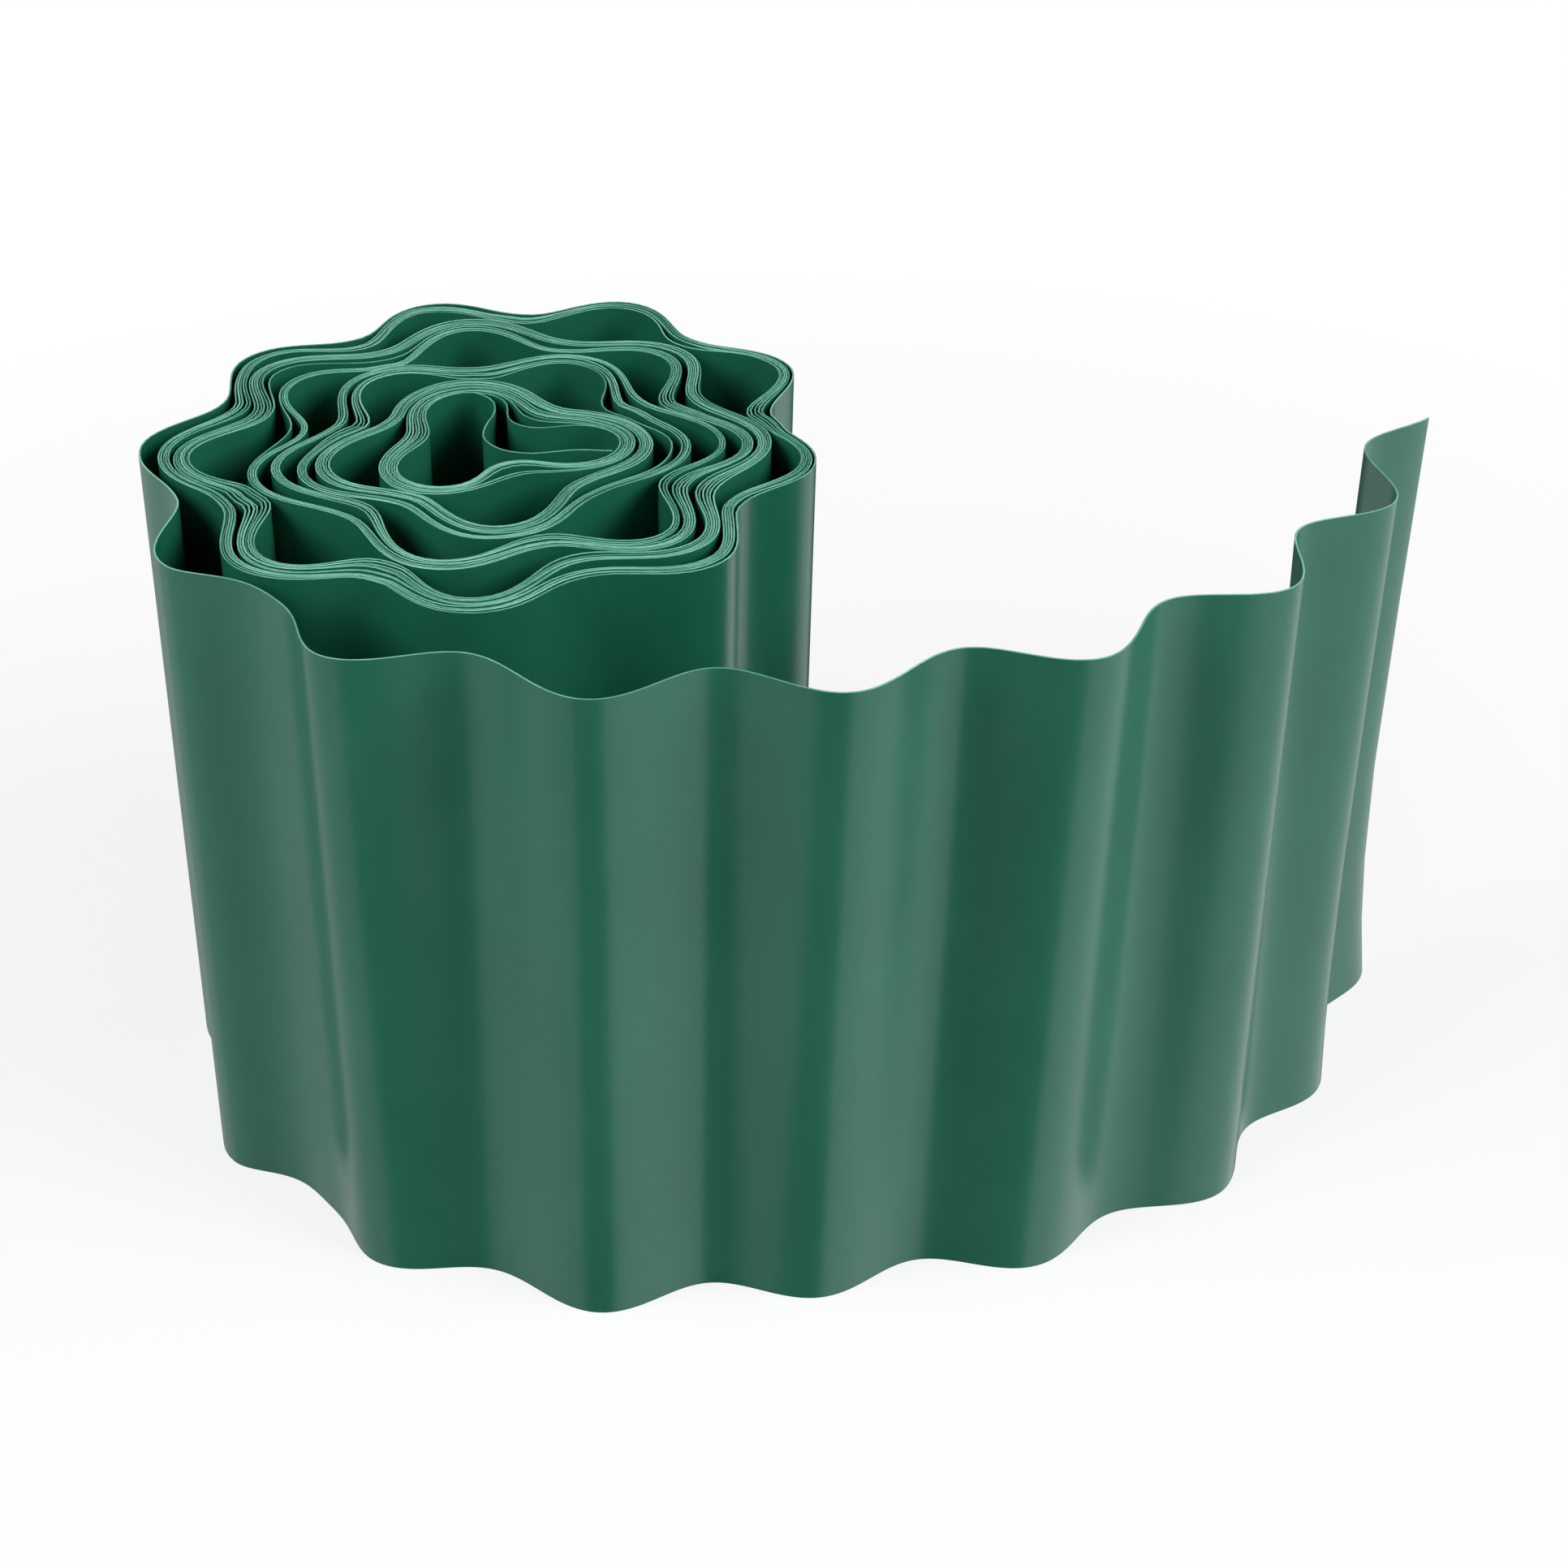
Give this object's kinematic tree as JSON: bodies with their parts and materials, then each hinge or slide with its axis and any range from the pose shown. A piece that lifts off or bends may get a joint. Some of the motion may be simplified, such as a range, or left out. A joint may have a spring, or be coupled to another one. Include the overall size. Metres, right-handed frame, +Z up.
{
  "type": "roll of lawn edging",
  "caption": "Corrugated plastic lawn edging wound into a nested roll that stands on its edge, with a free tail curving away from it.",
  "frame": {"origin": "on the floor under the middle of the footprint of the roll and its tail", "axes": "+Z up along the strip's height, +X from the roll towards the cut end of the tail"},
  "size_m": [0.2814, 0.1816, 0.15],
  "materials": {
    "strip": "dark green glossy polyethylene, lighter where the top edge is cut"
  },
  "bodies": {
    "root": {"inner_end": "strip", "core_bundle": "strip", "inner_bundle": "strip", "inner_mid_bundle": "strip", "mid_bundle": "strip", "outer_mid_bundle": "strip", "outer_bundle": "strip", "rim_bundle": "strip", "loose_turn": "strip", "free_tail": "strip", "free_end": "strip"}
  },
  "joints": []
}
